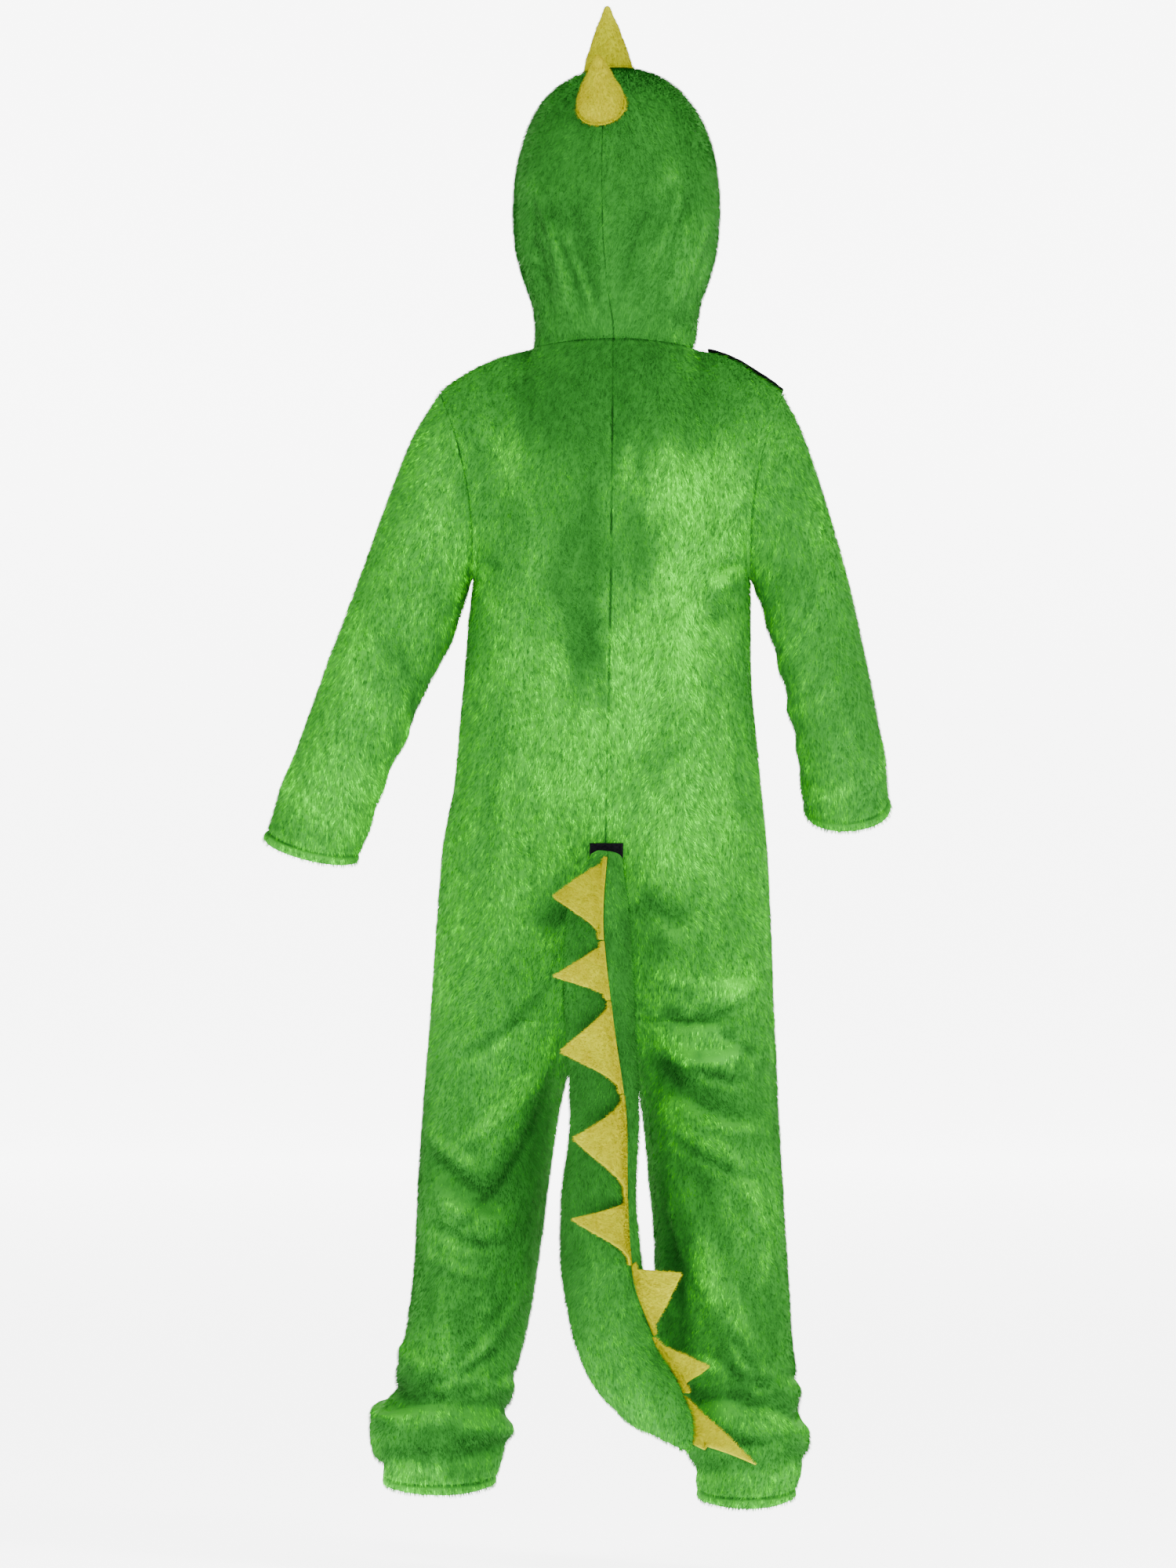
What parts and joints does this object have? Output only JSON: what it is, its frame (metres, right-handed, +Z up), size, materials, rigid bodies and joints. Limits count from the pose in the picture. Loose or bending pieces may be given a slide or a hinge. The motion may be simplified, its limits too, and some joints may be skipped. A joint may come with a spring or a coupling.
{
  "type": "crocodile costume",
  "caption": "child's hooded one-piece crocodile costume in green plush with yellow spikes on the hood and along a stuffed tail, filled out as worn, with nobody in it",
  "frame": {"origin": "between the shoulders, at the height of the shoulder line, where the wearer holds the costume up", "axes": "+Z is up, towards the hood; -Y is the garment's front; +X is the wearer's left"},
  "size_m": [0.571, 0.309, 1.349],
  "materials": {
    "green_plush": "short-pile plush",
    "yellow_plush": "very short-pile plush felt",
    "black_tape": "woven hook-and-loop tape"
  },
  "bodies": {
    "root": {"hood_left": "green_plush", "hood_right": "green_plush", "back_left": "green_plush", "back_right": "green_plush", "front_left": "green_plush", "front_right": "green_plush", "sleeve_left": "green_plush", "sleeve_right": "green_plush", "tail_left": "green_plush", "tail_right": "green_plush", "front_placket": "green_plush", "hood_spike_top": "yellow_plush", "hood_spike_rear": "yellow_plush", "tail_spike_1": "yellow_plush", "tail_spike_2": "yellow_plush", "tail_spike_3": "yellow_plush", "tail_spike_4": "yellow_plush", "tail_spike_5": "yellow_plush", "tail_spike_6": "yellow_plush", "tail_spike_7": "yellow_plush", "tail_spike_8": "yellow_plush", "tail_tape_body": "black_tape", "tail_tape_hook": "black_tape", "shoulder_tape": "black_tape"}
  },
  "joints": []
}
